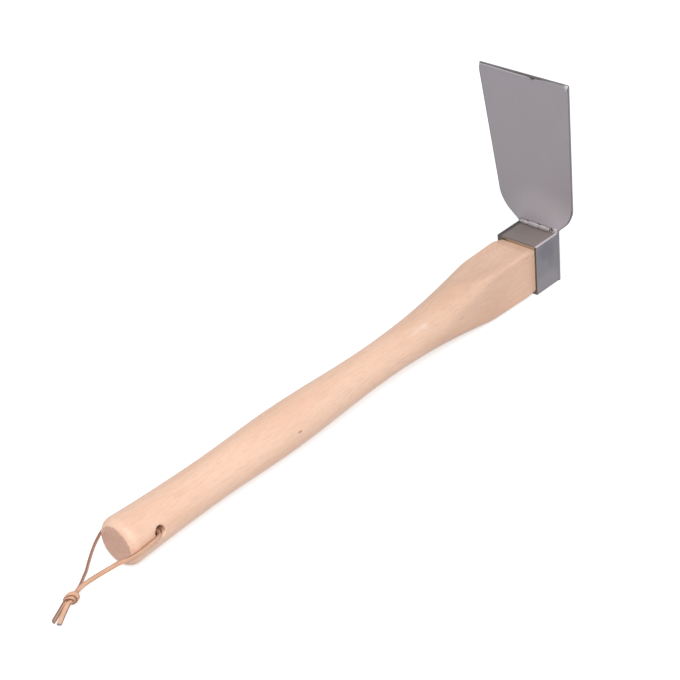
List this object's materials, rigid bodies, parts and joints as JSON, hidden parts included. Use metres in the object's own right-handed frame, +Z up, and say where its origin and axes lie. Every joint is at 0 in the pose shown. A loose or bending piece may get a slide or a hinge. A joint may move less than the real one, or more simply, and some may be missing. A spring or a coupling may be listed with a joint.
{
  "type": "hand weeding hoe",
  "caption": "Short-handled weeding hoe: leaning sheet-steel blade with round shoulders, welded box socket, turned wooden handle with a leather lace loop.",
  "frame": {"origin": "on the ground, below the middle of the hoe's length without its lace", "axes": "+X along the hoe, from the butt to the head; +Z up, the blade standing upward; +Y across the blade"},
  "size_m": [0.496, 0.0792, 0.1694],
  "materials": {
    "beech": "pale beech, sanded and lightly waxed",
    "blade_steel": "matte rolled stainless sheet, edge ground bright",
    "socket_steel": "matte rolled stainless sheet, slightly heat-tinted",
    "weld_steel": "bare weld metal, rippled",
    "screw_steel": "plain stainless wood screw",
    "lace_leather": "natural tan leather lace"
  },
  "bodies": {
    "root": {"handle": "beech", "blade": "blade_steel", "socket_strap": "socket_steel", "socket_top_plate": "socket_steel", "corner_weld": "weld_steel", "strap_weld": "weld_steel", "retaining_screw": "screw_steel", "lace_in_hole": "lace_leather", "lace_near_leg": "lace_leather", "lace_far_leg": "lace_leather", "lace_knot": "lace_leather", "lace_near_tail": "lace_leather", "lace_far_tail": "lace_leather"}
  },
  "joints": []
}
